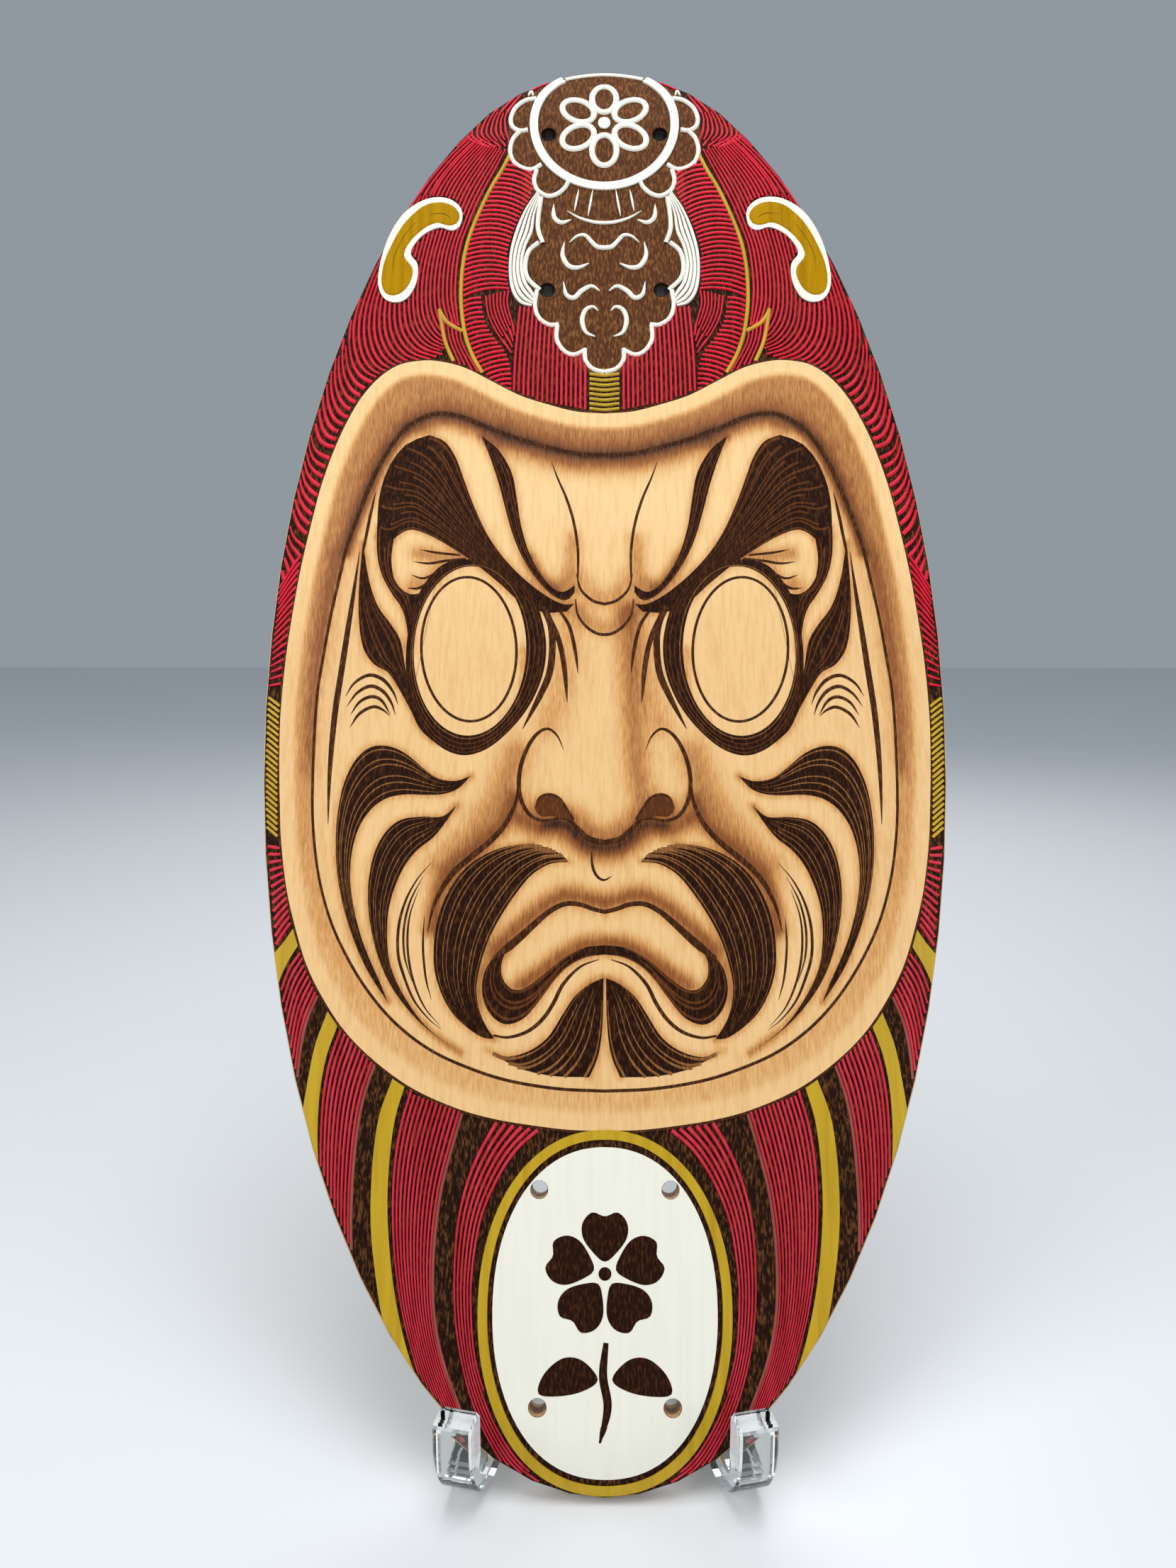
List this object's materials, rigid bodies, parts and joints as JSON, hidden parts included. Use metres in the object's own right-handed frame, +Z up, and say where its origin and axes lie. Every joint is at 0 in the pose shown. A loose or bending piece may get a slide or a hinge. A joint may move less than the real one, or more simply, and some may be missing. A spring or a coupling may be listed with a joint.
{
  "type": "daruma skateboard deck on easel",
  "caption": "Egg-shaped pressed maple skateboard deck engraved and painted as a daruma, leaning in a clear hinged easel.",
  "frame": {"origin": "on the surface the easel stands on, at the middle of the whole part's width and depth", "axes": "+Z up, the engraved face looks towards -Y, +X to the right of that face"},
  "size_m": [0.2352, 0.1924, 0.4653],
  "materials": {
    "engraved_maple": "laser engraved and painted, satin",
    "maple_veneer": "sealed maple, satin",
    "clear_acrylic": "clear, flame polished",
    "hinge_steel": "nickel plated, satin"
  },
  "bodies": {
    "stand": {"right_arm": "clear_acrylic", "right_hinge_leaf": "hinge_steel", "hinge_pin": "hinge_steel", "right_lower_hinge_screw": "hinge_steel", "right_upper_hinge_screw": "hinge_steel"},
    "left_arm": {"left_arm": "clear_acrylic", "left_hinge_leaf": "hinge_steel", "left_lower_hinge_screw": "hinge_steel", "left_upper_hinge_screw": "hinge_steel"},
    "deck": {"ply_1_engraved_face": "engraved_maple", "ply_2_long_grain": "maple_veneer", "ply_3_cross_grain": "maple_veneer", "ply_4_core": "maple_veneer", "ply_5_cross_grain": "maple_veneer", "ply_6_long_grain": "maple_veneer", "ply_7_back_face": "maple_veneer"}
  },
  "joints": [
    {"name": "arm_swing", "type": "hinge", "parent": "stand", "child": "left_arm", "pos_m": [0, 0.07728, 0.02], "axis": [0, 0, -1], "range_deg": [0, 30]},
    {"name": "deck_lift", "type": "slide", "parent": "stand", "child": "deck", "axis": [0, 0.3502, 0.9367], "range_m": [0, 0.04]}
  ]
}
